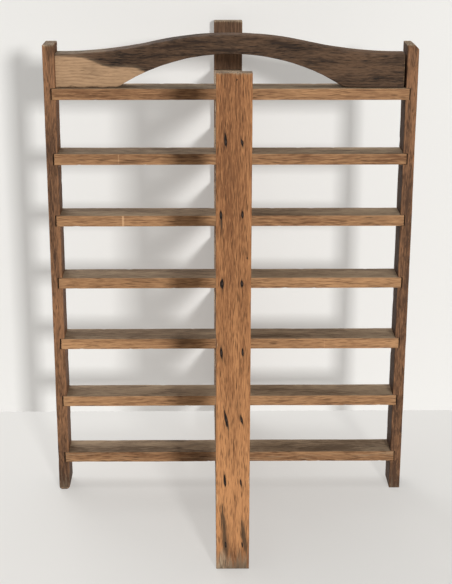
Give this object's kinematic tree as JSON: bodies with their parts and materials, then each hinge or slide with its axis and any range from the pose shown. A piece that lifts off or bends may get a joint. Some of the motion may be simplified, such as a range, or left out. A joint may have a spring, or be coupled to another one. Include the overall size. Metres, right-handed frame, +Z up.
{
  "type": "folding bread rack",
  "caption": "Folding wooden rack: two ladder frames crossed and riveted through their rungs, with housed, nailed rungs as tiers for tarts or flat loaves and an arched carrying handle.",
  "frame": {"origin": "on the floor, under the line of rivets where the two frames cross", "axes": "+Z up, X along the side frame that carries the handle, Y along the cross frame, -Y the front"},
  "size_m": [0.44, 0.45, 0.581],
  "materials": {
    "post_oak": "worn, unvarnished oak, honey brown with dark flecks",
    "rung_oak": "worn, unvarnished oak, greyed on top",
    "handle_oak": "oak, dark and greyed by handling",
    "nail_iron": "dark rusted iron",
    "rivet_iron": "dark worn iron"
  },
  "bodies": {
    "side_frame": {"left_post": "post_oak", "right_post": "post_oak", "left_post_nails": "nail_iron", "right_post_nails": "nail_iron", "side_rung_1": "rung_oak", "side_rung_2": "rung_oak", "side_rung_3": "rung_oak", "side_rung_4": "rung_oak", "side_rung_5": "rung_oak", "side_rung_6": "rung_oak", "side_rung_7": "rung_oak", "handle": "handle_oak", "handle_nails_left": "nail_iron", "handle_nails_right": "nail_iron", "pivot_rivets": "rivet_iron", "pivot_roves": "rivet_iron"},
    "cross_frame": {"front_post": "post_oak", "rear_post": "post_oak", "front_post_nails": "nail_iron", "rear_post_nails": "nail_iron", "cross_rung_1": "rung_oak", "cross_rung_2": "rung_oak", "cross_rung_3": "rung_oak", "cross_rung_4": "rung_oak", "cross_rung_5": "rung_oak", "cross_rung_6": "rung_oak", "cross_rung_7": "rung_oak"}
  },
  "joints": [
    {"name": "fold", "type": "hinge", "parent": "side_frame", "child": "cross_frame", "pos_m": [0, 0, 0], "axis": [0, 0, 1], "range_deg": [-79, 79]}
  ]
}
